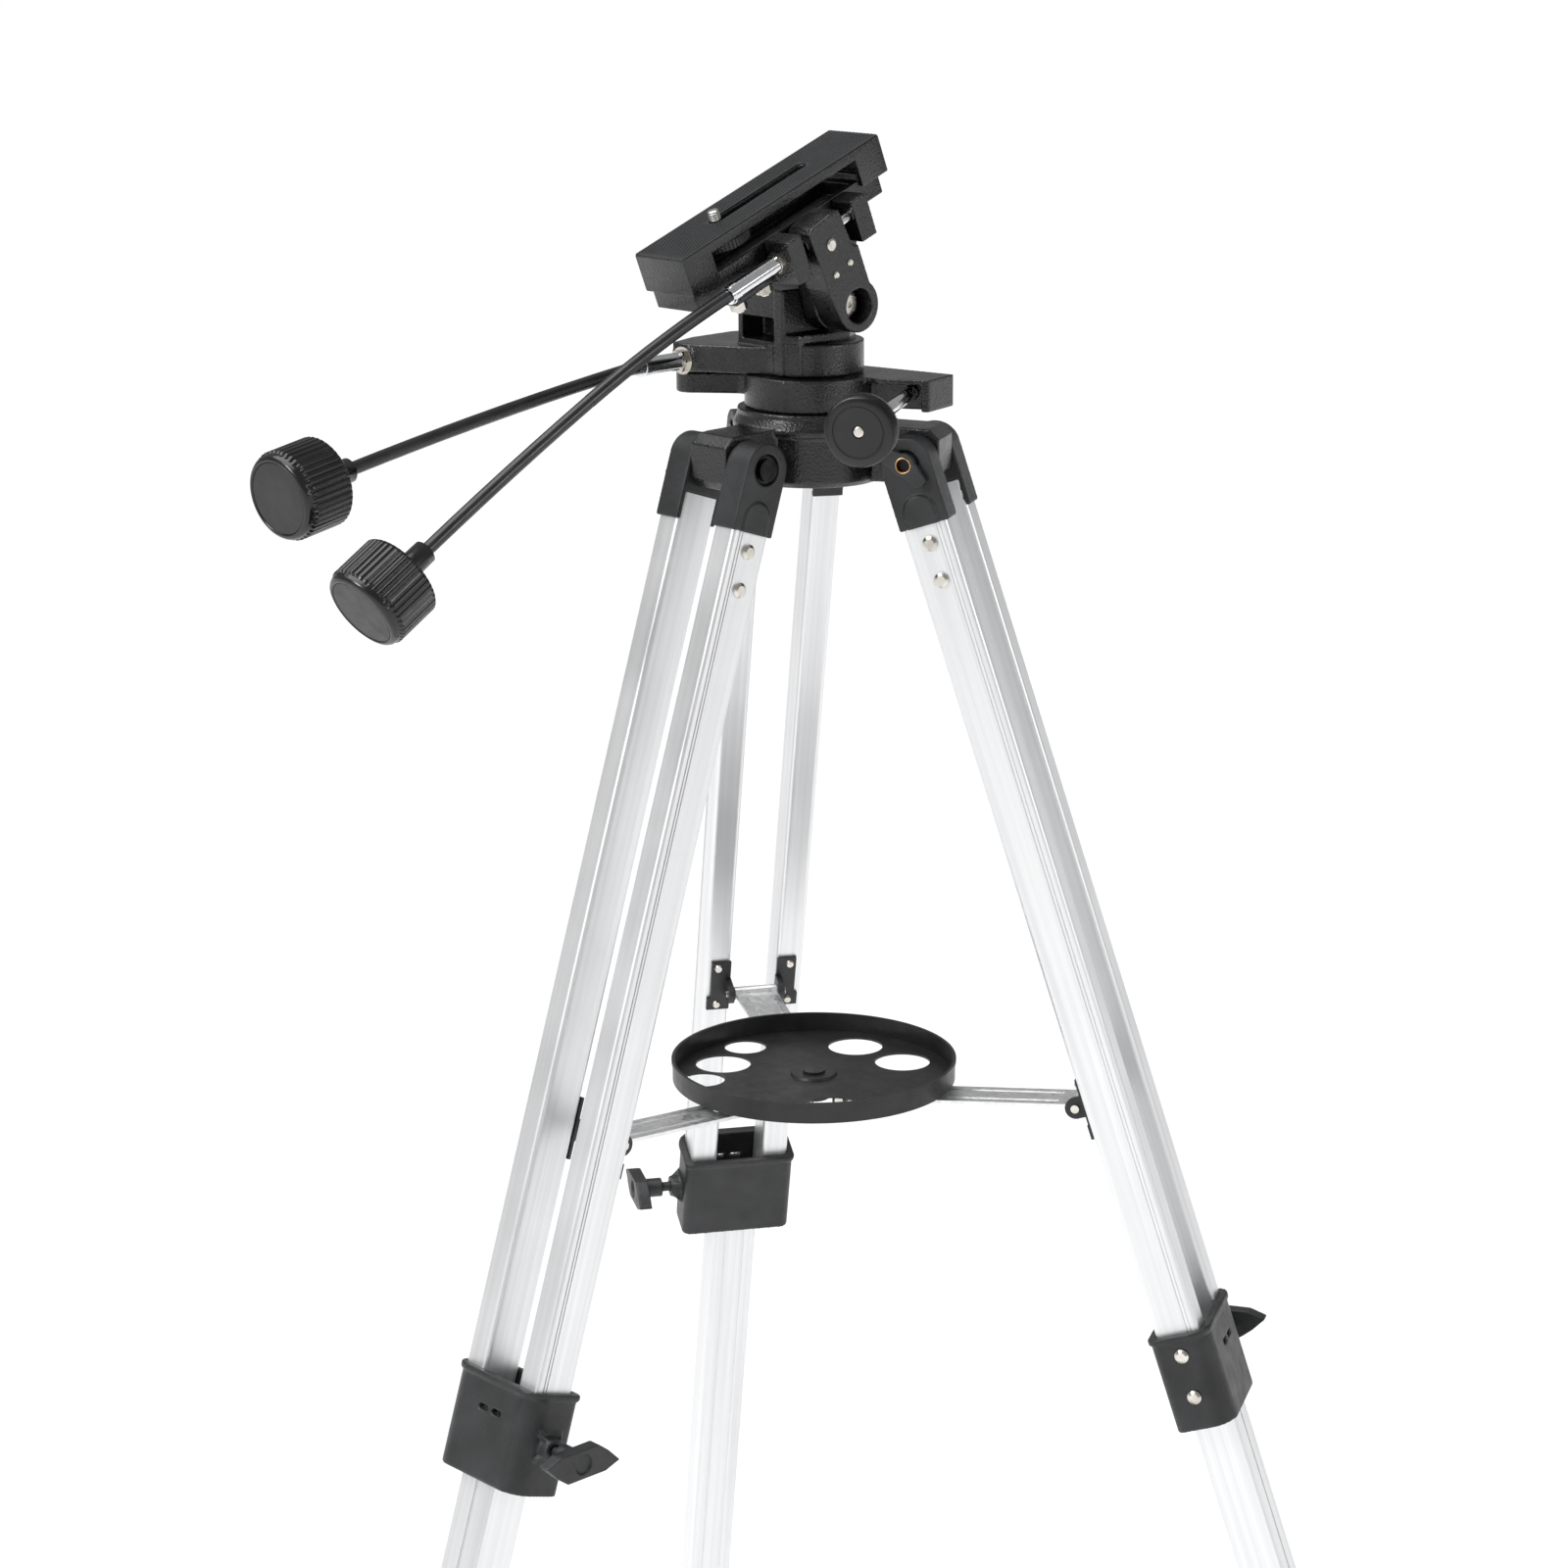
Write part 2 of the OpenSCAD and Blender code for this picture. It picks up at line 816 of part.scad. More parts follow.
module clamp(heading) {
  // collar on the rails' lower ends; the lower tube slides through it
  color([0.09, 0.09, 0.095])
  leg_frame(heading)
    difference() {
      union() {
        translate([0, 0, -clamp_s - clamp_len])
          linear_extrude(clamp_len)
            clamp_outline(0);
        translate([0, 0, -clamp_s - 3.4])
          linear_extrude(3.4)
            clamp_outline(1.1);
        clamp_boss();
      }
      translate([0, 0, -rail_end - 0.3])
        linear_extrude(rail_end)
          rounded_rect(rail_d + 2 * gap, rail_gap + 2 * rail_w + 2 * gap, 2.6);
      translate([0, 0, -clamp_s - clamp_len - 1])
        linear_extrude(clamp_len)
          square([lower_d + 2 * gap, lower_w + 2 * gap], center = true);
      translate([0, 0, -clamp_s - 29])
        rod_y(25, 60, 3.06);
      for (y = [-7.5, 3.5])
        block(10, 25, y, y + 8, -clamp_s - 20, -clamp_s - 17);
    }
}

module clamp_boss() {
  // boss for the lock screw with four gussets
  translate([0, 0, -clamp_s - 29]) {
    rod_y(collar_y - 8, collar_y + 7, 6.5);
    for (turn = [45 : 90 : 315])
      rotate([0, turn, 0])
        translate([0, collar_y - 2, 0])
          rotate([0, 90, 0])
            linear_extrude(1.8, center = true)
              polygon([[0, 0], [13, 0], [6, 8], [0, 8]]);
  }
}

module clamp_screw(heading) {
  // lock screw with a two-sided wing
  color([0.09, 0.09, 0.095])
  leg_frame(heading)
    translate([0, 0, -clamp_s - 29]) {
      rod_y(rail_gap / 2 + rail_w + 0.3, collar_y + 14, 3);
      rod_y(collar_y + 12.4, collar_y + 26, 6);
      difference() {
        translate([0, collar_y + 27, 0])
          rotate([90, clamp_wing_turn, 0])
            linear_extrude(8, center = true)
              polygon([[-25, -6], [-15, -9], [11, -8], [18, -2], [25, 6], [15, 9],
                       [-11, 8], [-18, 2]]);
        rod_y(collar_y + 29.4, collar_y + 34, 5.6);
      }
    }
}

module wing_nut(heading) {
  // plastic wing nut on the free end of the hinge bolt
  color([0.1, 0.1, 0.105])
  leg_frame(heading)
    difference() {
      union() {
        rod_y(-cap_out - 5, -cap_out - 0.2 + 2.6, 6.6);
        translate([0, -cap_out - 3.2, 0])
          rotate([90, 52, 0])
            linear_extrude(4, center = true)
              polygon([[-15, -4.4], [-12, -5.4], [0, -5.8], [12, -5.4], [15, -4.4], [15, 1],
                       [6, 4.6], [-6, 4.6], [-15, 1]]);
      }
      rod_y(-60, 0, bolt_r + 0.06);
    }
}

module lower_leg(heading) {
  color([0.81, 0.82, 0.83])
  leg_frame(heading)
    difference() {
      translate([0, 0, -lower_end])
        linear_extrude(lower_end - clamp_s - 34)
          difference() {
            rounded_rect(lower_d, lower_w, 1.2);
            translate([lower_d / 2, 0])
              square([1.4, 2.2], center = true);
            for (y = [-6, 6])
              translate([-lower_d / 2, y])
                square([1, 1.2], center = true);
          }
      translate([0, 0, -lower_end - 1])
        linear_extrude(lower_end - clamp_s - 37)
          square([lower_d - 4, lower_w - 4], center = true);
    }
}

module foot(heading) {
  // plastic shoe with a rounded rubber tip, flat where it meets the floor
  color([0.07, 0.07, 0.075])
  intersection() {
    leg_frame(heading)
      difference() {
        union() {
          translate([0, 0, -lower_end - 5])
            linear_extrude(35)
              rounded_rect(lower_d + 5, lower_w + 5, 4);
          translate([0, 0, -lower_end - 4])
            sphere(r = 15.4);
        }
        translate([0, 0, -lower_end])
          linear_extrude(60)
            rounded_rect(lower_d + 0.2, lower_w + 0.2, 1.2);
      }
    translate([0, 0, 150])
      cube([1200, 1200, 300], center = true);
  }
}

module leg_fasteners(heading) {
  // silver pan-head screws of one leg: rails, clamp, brackets, and the brackets' pivot pins
  color([0.86, 0.85, 0.83])
  leg_frame(heading) {
    rail_face = rail_gap / 2 + rail_w;
    for (side = [-1, 1], s = [45, 66])
      translate([0, 0, -s])
        pan_head_y(side * rail_face, side, 4.2);
    for (s = [12, 37])
      translate([0, 0, -clamp_s - s])
        pan_head_y(-collar_y, -1, 4);
    for (side = [-1, 1])
      for (p = [[22.5, 14.2], [22.5, -12.5]])
        translate([-rail_d / 2 - 1.9, side * p[0], -bracket_s + p[1]])
          rotate([0, -90, 0])
            cylinder(r1 = 2.6, r2 = 2, h = 1.3);
    for (side = [-1, 1])
      translate([-bracket_q, 0, -bracket_s])
        mirror([0, side < 0 ? 1 : 0, 0])
          rod_y(rail_gap / 2 - 1, rail_gap / 2 + 4.2, 2.4);
  }
}

module spreader_brackets(heading) {
  // black plastic brackets on the rails' inward faces; each ear holds a pivot pin
  color([0.06, 0.06, 0.065])
  leg_frame(heading)
    for (side = [-1, 1])
      mirror([0, side < 0 ? 1 : 0, 0])
        difference() {
          union() {
            block(-rail_d / 2 - 1.9, -rail_d / 2 - 0.02, rail_gap / 2, rail_gap / 2 + 12,
              -bracket_s + 4, -bracket_s + 18.5);
            block(-rail_d / 2 - 1.9, -rail_d / 2 - 0.02, rail_gap / 2, rail_gap / 2 + 14,
              -bracket_s - 16.5, -bracket_s - 8);
            block(-rail_d / 2 - 1.9, -rail_d / 2 - 0.02, rail_gap / 2, rail_gap / 2 + 12,
              -bracket_s - 9, -bracket_s + 5);
            translate([-bracket_q, 0, -bracket_s])
              rod_y(rail_gap / 2 - 0.4, rail_gap / 2 + 3, 6);
            block(-bracket_q, -rail_d / 2 - 0.02, rail_gap / 2 - 0.4, rail_gap / 2 + 3,
              -bracket_s - 6, -bracket_s + 6);
          }
          translate([-bracket_q, 0, -bracket_s])
            rod_y(0, 60, 2.45);
        }
}

module spreader_bar(heading) {
  // zinc-plated strip with two pressed grooves and a rolled eye at each end
  color([0.78, 0.79, 0.8])
  rotate([0, 0, heading])
    translate([hub_pin_r, 0, hub_z])
      rotate([0, -bar_rise, 0])
      difference() {
        union() {
          block(3, bar_l - 2, -bar_w / 2, bar_w / 2, -1, 1);
          rod_y(-bar_w / 2, bar_w / 2, 4.2);
          translate([bar_l, 0, 0])
            rod_y(-bar_w / 2, bar_w / 2, 4);
        }
        rod_y(-20, 20, 2.56);
        translate([bar_l, 0, 0])
          rod_y(-20, 20, 2.7);
        for (y = [-7, 7])
          block(34, bar_l - 12, y - 1.4, y + 1.4, 0.4, 2);
        translate([54, 0, -3])
          cylinder(r = 3, h = 6);
      }
}

// ---------- spreader hub and tray ----------

module spreader_hub() {
  // plate under the tray with a fork for each bar and a threaded neck for the tray's cap screw
  color([0.08, 0.08, 0.085])
  difference() {
    union() {
      translate([0, 0, hub_z + 4.8])
        cylinder(r = 27, h = floor_z - hub_z - 4.9);
      translate([0, 0, hub_z - 5])
        cylinder(r = 9, h = 10);
      for (heading = [leg_a, leg_b, leg_c])
        rotate([0, 0, heading])
          for (side = [-1, 1])
            block(hub_pin_r - 4, hub_pin_r + 4, side * 15 - 1.6, side * 15 + 1.6,
              hub_z - 4, hub_z + 5);
    }
    translate([0, 0, hub_z - 6])
      cylinder(r = 3.02, h = 40);
    for (heading = [leg_a, leg_b, leg_c])
      rotate([0, 0, heading])
        translate([hub_pin_r, 0, hub_z])
          rod_y(-20, 20, 2.52);
  }
}

module hub_pins() {
  color([0.8, 0.8, 0.8])
  for (heading = [leg_a, leg_b, leg_c])
    rotate([0, 0, heading])
      translate([hub_pin_r, 0, hub_z])
        rod_y(-17, 17, 2.5);
}

module tray() {
  // round dished tray with eyepiece holes and a rolled rim
  color([0.1, 0.1, 0.105])
  difference() {
    union() {
      translate([0, 0, floor_z])
        cylinder(r = tray_r - 0.6, h = tray_h - 0.8, $fn = 128);
      translate([0, 0, tray_z - 2.2])
        cylinder(r = tray_r, h = 2.2, $fn = 128);
    }
    translate([0, 0, floor_z + tray_t])
      cylinder(r = tray_r - 0.6 - tray_t, h = tray_h, $fn = 128);
    translate([0, 0, floor_z - 1])
      cylinder(r = 3.05, h = 5);
    for (p = [[56, 206.9], [56, 110.9], [56, 69.9], [56, -32.1]])
      rotate([0, 0, p[1]])
        translate([p[0], 0, floor_z - 1])
          cylinder(r = big_hole_r, h = 5);
    for (p = [[64, 175.9], [64, 234.9], [64, -2.1], [64, -62.1]])
      rotate([0, 0, p[1]])
        translate([p[0], 0, floor_z - 1])
          cylinder(r = small_hole_r, h = 5);
  }
}

module tray_cap() {
  // round cap and its screw, which holds the tray on the hub
  color([0.09, 0.09, 0.095]) {
    translate([0, 0, floor_z + tray_t + 0.02])
      cylinder(r1 = 13.5, r2 = 12.6, h = 1.4);
    translate([0, 0, floor_z + tray_t + 1.3])
      cylinder(r = 6.5, h = 1.6);
    translate([0, 0, hub_z - 4])
      cylinder(r = 3, h = floor_z - hub_z + 6.5);
  }
}

base_casting();
azimuth_bolt();
thrust_washers();
hinge_bolts();
clamp_ring();
azimuth_lock_screw();
azimuth_lock_knob();
turret();
altitude_axle();
azimuth_bushings();
azimuth_screw();
azimuth_cable();
azimuth_knob();
altitude_arm();
arm_screws();
carriage();
altitude_bushings();
altitude_screw();
altitude_cable();
altitude_knob();
saddle_bed();
saddle_shell();
saddle_pad();
saddle_bolts();
camera_screw();
camera_screw_clip();
rails(leg_a);  // rails_a
hinge_caps(leg_a);  // hinge_caps_a
clamp(leg_a);  // clamp_a
leg_fasteners(leg_a);  // leg_fasteners_a
spreader_brackets(leg_a);  // spreader_brackets_a
lower_leg(leg_a);  // lower_leg_a
foot(leg_a);  // foot_a
wing_nut(leg_a);  // wing_nut_a
clamp_screw(leg_a);  // clamp_screw_a
spreader_bar(leg_a);  // spreader_bar_a
rails(leg_b);  // rails_b
hinge_caps(leg_b);  // hinge_caps_b
clamp(leg_b);  // clamp_b
leg_fasteners(leg_b);  // leg_fasteners_b
spreader_brackets(leg_b);  // spreader_brackets_b
lower_leg(leg_b);  // lower_leg_b
foot(leg_b);  // foot_b
wing_nut(leg_b);  // wing_nut_b
clamp_screw(leg_b);  // clamp_screw_b
spreader_bar(leg_b);  // spreader_bar_b
rails(leg_c);  // rails_c
hinge_caps(leg_c);  // hinge_caps_c
clamp(leg_c);  // clamp_c
leg_fasteners(leg_c);  // leg_fasteners_c
spreader_brackets(leg_c);  // spreader_brackets_c
lower_leg(leg_c);  // lower_leg_c
foot(leg_c);  // foot_c
wing_nut(leg_c);  // wing_nut_c
clamp_screw(leg_c);  // clamp_screw_c
spreader_bar(leg_c);  // spreader_bar_c
spreader_hub();
hub_pins();
tray();
tray_cap();
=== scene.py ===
"""Looks for the alt-azimuth mount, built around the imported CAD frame. Metres, frame axes as in the record."""
import json
import math

import bmesh
import bpy
from mathutils import Matrix, Vector

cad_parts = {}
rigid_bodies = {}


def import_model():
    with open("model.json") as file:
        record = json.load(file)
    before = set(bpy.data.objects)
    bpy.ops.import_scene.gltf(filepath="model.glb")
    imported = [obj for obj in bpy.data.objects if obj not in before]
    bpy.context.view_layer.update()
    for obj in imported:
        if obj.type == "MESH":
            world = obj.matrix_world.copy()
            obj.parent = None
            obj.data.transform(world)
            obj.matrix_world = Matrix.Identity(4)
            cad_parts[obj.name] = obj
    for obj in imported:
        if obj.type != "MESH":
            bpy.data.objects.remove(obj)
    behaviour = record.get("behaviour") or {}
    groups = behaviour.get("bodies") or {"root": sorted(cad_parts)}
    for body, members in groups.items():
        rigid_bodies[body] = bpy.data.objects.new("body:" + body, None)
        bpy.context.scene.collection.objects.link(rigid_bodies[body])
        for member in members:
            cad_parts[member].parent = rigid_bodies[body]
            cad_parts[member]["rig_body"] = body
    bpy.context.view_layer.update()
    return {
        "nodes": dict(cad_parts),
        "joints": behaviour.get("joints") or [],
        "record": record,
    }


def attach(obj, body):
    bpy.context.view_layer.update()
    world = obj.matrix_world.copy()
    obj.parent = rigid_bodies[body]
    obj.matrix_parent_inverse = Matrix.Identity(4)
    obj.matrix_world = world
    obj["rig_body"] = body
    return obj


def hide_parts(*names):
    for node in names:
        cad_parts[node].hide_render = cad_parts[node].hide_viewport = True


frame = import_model()
NODES = frame["nodes"]
JOINTS = {j["name"]: j for j in frame["joints"]}
LEGS = {"a": 270, "b": 30, "c": 150}
MM = 0.001

# ---------- sizes shared with the CAD model, in millimetres or degrees unless noted ----------

HINGE_Z = 1.060                      # height of the leg hinges in metres
HINGE_R = 0.0624                     # distance of the leg hinges from the middle in metres
ALTITUDE_Z = 0.083                   # altitude axis above the leg hinges in metres
SPLAY = 18.15                        # lean of the legs
HINGE_CAP_OUT = 32.05                # outer face of a hinge cap from the leg's middle
BOLT_R = 4
SADDLE_TILT = 21.7
SADDLE_TOP = 71.3                    # saddle heights and lengths are measured from the altitude axis
SADDLE_MID = -14.0
SLOT_START = -46.5
SLOT_END = 19.0
SLOT_HALF = 3.975
KNOB_R = 23.5
LOCK_KNOB_R = 19.0

# ---------- camera, as fitted to the photo ----------

VIEW_TURN = math.radians(46.89)
VIEW_YAW = math.radians(-0.45)
VIEW_PITCH = math.radians(14.59)
VIEW_ROLL = math.radians(-0.31)
CAMERA_AT = Vector((1.5202, -1.4230, HINGE_Z + 0.3512))
FOCAL_LENGTH = 87.39
SENSOR = 36.0


def make_camera():
    turn = Matrix.Rotation(VIEW_TURN, 3, "Z")
    forward = turn @ Vector((math.sin(VIEW_YAW) * math.cos(VIEW_PITCH),
                             math.cos(VIEW_YAW) * math.cos(VIEW_PITCH), -math.sin(VIEW_PITCH)))
    right = turn @ Vector((math.cos(VIEW_YAW), -math.sin(VIEW_YAW), 0))
    up = right.cross(forward)
    rolled_right = right * math.cos(VIEW_ROLL) + up * math.sin(VIEW_ROLL)
    rolled_up = up * math.cos(VIEW_ROLL) - right * math.sin(VIEW_ROLL)
    data = bpy.data.cameras.new("camera")
    data.lens = FOCAL_LENGTH
    data.sensor_width = SENSOR
    data.clip_end = 200
    camera = bpy.data.objects.new("camera", data)
    bpy.context.scene.collection.objects.link(camera)
    facing = Matrix((rolled_right, rolled_up, -forward)).transposed()
    camera.matrix_world = Matrix.Translation(CAMERA_AT) @ facing.to_4x4()
    bpy.context.scene.camera = camera


# ---------- stage and light ----------

FLOOR_HALF = 60.0


def make_stage():
    mesh = bpy.data.meshes.new("floor")
    h = FLOOR_HALF
    mesh.from_pydata([(-h, -h, 0), (h, -h, 0), (h, h, 0), (-h, h, 0)], [], [(0, 1, 2, 3)])
    floor = bpy.data.objects.new("floor", mesh)
    bpy.context.scene.collection.objects.link(floor)
    mat = bpy.data.materials.new("floor_paper")
    mat.use_nodes = True
    shader = mat.node_tree.nodes["Principled BSDF"]
    shader.inputs["Base Color"].default_value = (0.9, 0.9, 0.9, 1)
    shader.inputs["Roughness"].default_value = 0.9
    shader.inputs["Specular IOR Level"].default_value = 0.1
    mesh.materials.append(mat)


def area_light(name, at, target, size, power):
    data = bpy.data.lights.new(name, "AREA")
    data.shape = "RECTANGLE"
    data.size = size
    data.size_y = size
    data.energy = power
    light = bpy.data.objects.new(name, data)
    bpy.context.scene.collection.objects.link(light)
    light.location = at
    light.rotation_euler = (Vector(target) - Vector(at)).to_track_quat("-Z", "Y").to_euler()


def make_light():
    scene = bpy.context.scene
    scene.view_settings.view_transform = "Standard"
    world = bpy.data.worlds.new("studio")
    world.use_nodes = True
    background = world.node_tree.nodes["Background"]
    background.inputs["Color"].default_value = (1, 1, 1, 1)
    background.inputs["Strength"].default_value = 0.32
    scene.world = world
    data = bpy.data.lights.new("overhead", "SUN")
    data.energy = 2.85
    data.angle = math.radians(60)
    overhead = bpy.data.objects.new("overhead", data)
    scene.collection.objects.link(overhead)
    overhead.rotation_euler = (math.radians(18), math.radians(-14), 0)
    focus = (0, 0, 0.95)
    area_light("key", (-0.2, -2.6, 2.3), focus, 0.6, 34)
    area_light("side", (2.6, 0.9, 1.7), focus, 1.0, 14)


# ---------- materials ----------


class Nodes:
    """Small helper that adds and joins the nodes of one material."""

    def __init__(self, name):
        self.mat = bpy.data.materials.new(name)
        self.mat.use_nodes = True
        self.tree = self.mat.node_tree
        self.shader = self.tree.nodes["Principled BSDF"]
        self.coords = self.add("ShaderNodeTexCoord").outputs["Object"]

    def add(self, kind, **values):
        node = self.tree.nodes.new(kind)
        for key, value in values.items():
            if hasattr(node, key):
                setattr(node, key, value)
            else:
                node.inputs[key.replace("_", " ")].default_value = value
        return node

    def join(self, source, target):
        self.tree.links.new(source, target)

    def noise(self, scale, detail, rough=0.5, coords=None):
        node = self.add("ShaderNodeTexNoise", Scale=scale, Detail=detail, Roughness=rough)
        self.join(coords or self.coords, node.inputs["Vector"])
        return node.outputs["Fac"]

    def cells(self, scale, smooth):
        node = self.add("ShaderNodeTexVoronoi", feature="SMOOTH_F1", Scale=scale)
        node.inputs["Smoothness"].default_value = smooth
        self.join(self.coords, node.inputs["Vector"])
        return node.outputs["Distance"]

    def spread(self, source, low, high, out_low, out_high):
        node = self.add("ShaderNodeMapRange")
        self.join(source, node.inputs["Value"])
        for key, value in (("From Min", low), ("From Max", high), ("To Min", out_low), ("To Max", out_high)):
            node.inputs[key].default_value = value
        return node.outputs["Result"]

    def mix(self, factor, first, second):
        node = self.add("ShaderNodeMix", data_type="RGBA")
        self.join(factor, node.inputs["Factor"])
        node.inputs[6].default_value = (*first, 1)
        node.inputs[7].default_value = (*second, 1)
        return node.outputs[2]

    def colour(self, source):
        self.join(source, self.shader.inputs["Base Color"])

    def rough(self, source):
        self.join(source, self.shader.inputs["Roughness"])

    def bump(self, source, depth, strength=1.0, under=None):
        node = self.add("ShaderNodeBump", Strength=strength, Distance=depth)
        self.join(source, node.inputs["Height"])
        if under is not None:
            self.join(under, node.inputs["Normal"])
        return node.outputs["Normal"]

    def finish(self, normal, **values):
        self.join(normal, self.shader.inputs["Normal"])
        for key, value in values.items():
            self.shader.inputs[key.replace("_", " ")].default_value = value
        return self.mat


def hammered_black(name, dark, light, cell, depth, rough):
    """Hammered gloss black paint over a casting."""
    n = Nodes(name)
    wrinkle = n.cells(cell, 0.35)
    fine = n.noise(cell * 2.3, 4)
    n.colour(n.mix(n.spread(wrinkle, 0.1, 0.75, 1, 0), dark, light))
    n.rough(n.spread(n.noise(90, 3), 0.3, 0.7, rough - 0.05, rough + 0.07))
    normal = n.bump(fine, depth * 0.35, 0.6)
    normal = n.bump(wrinkle, depth, 1.0, under=normal)
    return n.finish(normal, Specular_IOR_Level=0.5, Coat_Weight=0.2, Coat_Roughness=0.17)


def grained_plastic(name, dark, light, grain, depth, rough):
    """Moulded black plastic with a fine spark-eroded grain."""
    n = Nodes(name)
    speck = n.noise(grain, 4, 0.65)
    n.colour(n.mix(n.spread(n.noise(45, 3), 0.35, 0.7, 0, 1), dark, light))
    n.rough(n.spread(n.noise(120, 3), 0.3, 0.7, rough - 0.05, rough + 0.08))
    return n.finish(n.bump(speck, depth))


SCRATCHES = 1600                     # noise scale of the plating's scratches
SCRATCH_DEPTH = 0.00002              # in metres


def plated(name, dark, light, rough):
    """Bright metal with faint clouding and fine scratches."""
    n = Nodes(name)
    n.colour(n.mix(n.spread(n.noise(160, 4), 0.3, 0.7, 0, 1), dark, light))
    n.rough(n.spread(n.noise(420, 4), 0.3, 0.7, rough * 0.7, rough * 1.4))
    return n.finish(n.bump(n.noise(SCRATCHES, 3), SCRATCH_DEPTH), Metallic=1.0)


def anodised(name, heading):
    """Satin anodised extrusion with draw lines that run down the leg."""
    n = Nodes(name)
    along = n.add("ShaderNodeMapping", vector_type="TEXTURE")
    along.inputs["Rotation"].default_value = (0, -math.radians(SPLAY), math.radians(heading))
    along.inputs["Scale"].default_value = (1, 1, 90)
    n.join(n.coords, along.inputs["Vector"])
    lines = n.noise(1500, 3, 0.7, along.outputs["Vector"])
    bands = n.noise(330, 2, 0.5, along.outputs["Vector"])
    cloud = n.noise(14, 3)
    n.colour(n.mix(n.spread(bands, 0.3, 0.7, 0, 1), (0.74, 0.745, 0.755), (0.84, 0.845, 0.85)))
    n.rough(n.spread(cloud, 0.3, 0.7, 0.36, 0.46))
    return n.finish(n.bump(lines, 0.00005, 0.6), Metallic=0.9)


def sheath(name):
    """Smooth vinyl sheath of a flexible shaft."""
    n = Nodes(name)
    n.colour(n.mix(n.spread(n.noise(60, 3), 0.3, 0.7, 0, 1), (0.008, 0.008, 0.009), (0.016, 0.016, 0.018)))
    n.rough(n.spread(n.noise(150, 3), 0.3, 0.7, 0.22, 0.36))
    return n.finish(n.bump(n.noise(420, 3), 0.00006, 0.5))


def rubber(name, grain, depth):
    """Matt black rubber with a fine grain."""
    n = Nodes(name)
    n.colour(n.mix(n.spread(n.noise(80, 3), 0.3, 0.7, 0, 1), (0.011, 0.012, 0.013), (0.022, 0.023, 0.025)))
    n.rough(n.spread(n.noise(200, 3), 0.3, 0.7, 0.5, 0.68))
    return n.finish(n.bump(n.noise(grain, 4), depth, 0.7))


def slip_washer(name):
    """Pale slippery plastic."""
    n = Nodes(name)
    n.colour(n.mix(n.spread(n.noise(70, 3), 0.3, 0.7, 0, 1), (0.7, 0.7, 0.66), (0.8, 0.8, 0.76)))
    n.rough(n.spread(n.noise(220, 3), 0.3, 0.7, 0.4, 0.55))
    return n.finish(n.bump(n.noise(600, 3), 0.00004, 0.5))


MATERIALS = {
    "black_casting": hammered_black("black_casting", (0.0012, 0.0012, 0.0014), (0.0075, 0.0078, 0.0085),
                                    820, 0.00024, 0.3),
    "chrome": plated("chrome", (0.72, 0.73, 0.75), (0.86, 0.87, 0.88), 0.09),
    "nickel_steel": plated("nickel_steel", (0.55, 0.52, 0.47), (0.74, 0.71, 0.66), 0.22),
    "slip_washer": slip_washer("slip_washer"),
    "gloss_knob": grained_plastic("gloss_knob", (0.004, 0.004, 0.0045), (0.01, 0.01, 0.011),
                                  900, 0.00004, 0.2),
    "cable_sheath": sheath("cable_sheath"),
    "rubber_pad": rubber("rubber_pad", 1500, 0.0001),
    # painted highlight: the studs get a lighter copy of the pad's rubber, standing in for the light their tops
    # and sides catch above the pad
    "rubber_stud_painted_highlight": grained_plastic("rubber_stud_painted_highlight", (0.016, 0.017, 0.018), (0.03, 0.031, 0.033),
                                   1500, 0.00003, 0.34),
    "camera_screw_steel": plated("camera_screw_steel", (0.42, 0.42, 0.4), (0.6, 0.59, 0.57), 0.28),
    "black_plastic": grained_plastic("black_plastic", (0.008, 0.0085, 0.009), (0.02, 0.021, 0.023),
                                     1300, 0.00022, 0.4),
    "rubber_foot": rubber("rubber_foot", 900, 0.0002),
    "blackened_steel": plated("blackened_steel", (0.012, 0.012, 0.013), (0.03, 0.03, 0.032), 0.34),
    "zinc_plate": plated("zinc_plate", (0.78, 0.785, 0.79), (0.9, 0.9, 0.905), 0.38),
    "knob_cap": grained_plastic("knob_cap", (0.008, 0.008, 0.009), (0.016, 0.016, 0.018), 700, 0.00012, 0.42),
    "brass": plated("brass", (0.42, 0.24, 0.1), (0.62, 0.4, 0.2), 0.25),
    "tray_paint": grained_plastic("tray_paint", (0.007, 0.007, 0.008), (0.013, 0.013, 0.014),
                                  700, 0.00009, 0.38),
}
ANODISED = {k: anodised("anodised_" + k, heading) for k, heading in LEGS.items()}


def dress(obj, mat):
    obj.data.materials.clear()
    obj.data.materials.append(mat)


def slot_of(node):
    return next(s["material_slot"] for s in frame["record"]["subparts"] if s["node"] == node)


def material_of(node):
    slot = slot_of(node)
    return ANODISED[node[-1]] if slot == "anodised_aluminium" else MATERIALS[slot]


# ---------- mesh helpers ----------

WELD_DISTANCE = 1e-6                 # in metres


def new_object(name, bm, mats, smooth=True):
    mesh = bpy.data.meshes.new(name)
    bm.to_mesh(mesh)
    bm.free()
    for mat in mats:
        mesh.materials.append(mat)
    if smooth:
        mesh.shade_smooth()
    obj = bpy.data.objects.new(name, mesh)
    bpy.context.scene.collection.objects.link(obj)
    return obj


def stand_for(obj, node):
    """obj takes a CAD node's place on its body, and the node is hidden."""
    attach(obj, NODES[node]["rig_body"])
    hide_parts(node)


def add_modifier(obj, kind, **values):
    modifier = obj.modifiers.new(kind.lower(), kind)
    for key, value in values.items():
        setattr(modifier, key, value)
    return modifier


